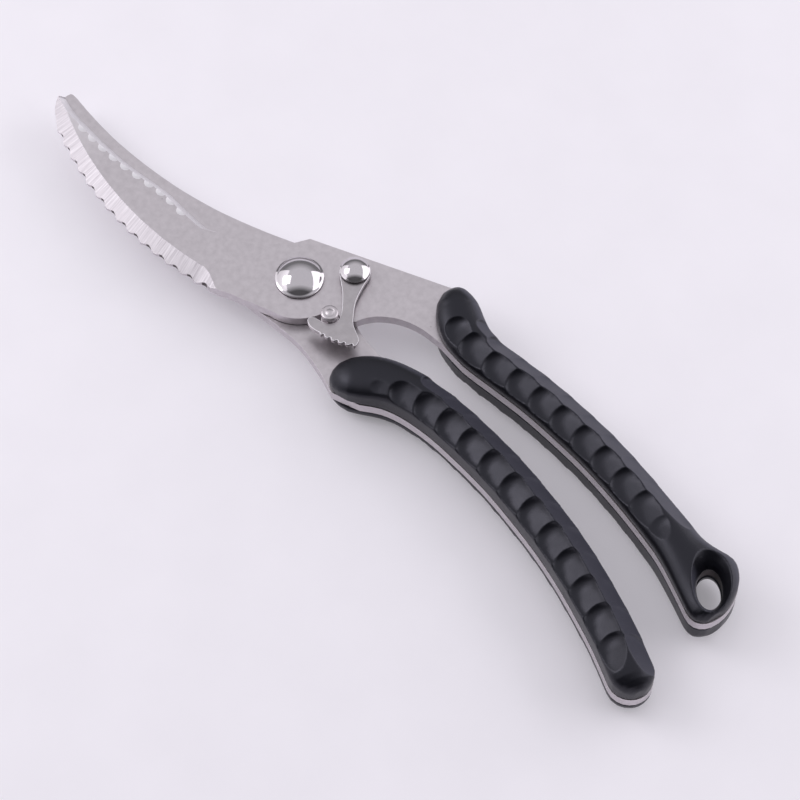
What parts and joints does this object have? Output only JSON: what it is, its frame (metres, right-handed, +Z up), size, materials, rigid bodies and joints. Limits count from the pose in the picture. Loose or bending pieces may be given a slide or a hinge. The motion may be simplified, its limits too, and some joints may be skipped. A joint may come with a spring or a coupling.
{
  "type": "poultry shears",
  "caption": "Curved steel shears with a wavy scaling spine, scooped black grips, a hook latch by the pivot and a hanging hole; for cutting poultry through joints and small bones.",
  "frame": {"origin": "centre of the bounding box at its underside, where the lower grip scales touch the table", "axes": "+X from the blade tips to the handle ends, +Y from the back handle to the front handle, +Z up from the table along the pivot axis"},
  "size_m": [0.254, 0.0562, 0.019],
  "materials": {
    "satin_steel": "satin ground stainless steel",
    "polished_steel": "polished steel",
    "spring_steel": "drawn spring wire",
    "black_plastic": "fine satin moulded plastic"
  },
  "bodies": {
    "front_lever": {"front_blade": "satin_steel", "pivot_rivet": "polished_steel", "pivot_cap": "polished_steel", "pivot_washer": "satin_steel", "torsion_spring": "spring_steel", "latch_rivet": "polished_steel", "latch_washer": "polished_steel", "front_grip_upper": "black_plastic", "front_grip_lower": "black_plastic", "front_grip_screw_1": "polished_steel", "front_grip_screw_2": "polished_steel", "front_grip_screw_3": "polished_steel"},
    "back_lever": {"back_blade": "satin_steel", "lock_stud": "polished_steel", "back_grip_upper": "black_plastic", "back_grip_lower": "black_plastic", "back_grip_screw_1": "polished_steel", "back_grip_screw_2": "polished_steel", "back_grip_screw_3": "polished_steel"},
    "latch_plate": {"latch": "satin_steel"}
  },
  "joints": [
    {"name": "blade_opening", "type": "hinge", "parent": "front_lever", "child": "back_lever", "pos_m": [-0.02958, -0.00307, 0.0095], "axis": [0, 0, -1], "range_deg": [0, 28]},
    {"name": "latch_release", "type": "hinge", "parent": "front_lever", "child": "latch_plate", "pos_m": [-0.01937, 0.00898, 0.0146], "axis": [0, 0, 1], "range_deg": [0, 45]}
  ],
  "couplings": [
    {"joint": "latch_release", "follows": "blade_opening", "ratio": 1.6}
  ]
}
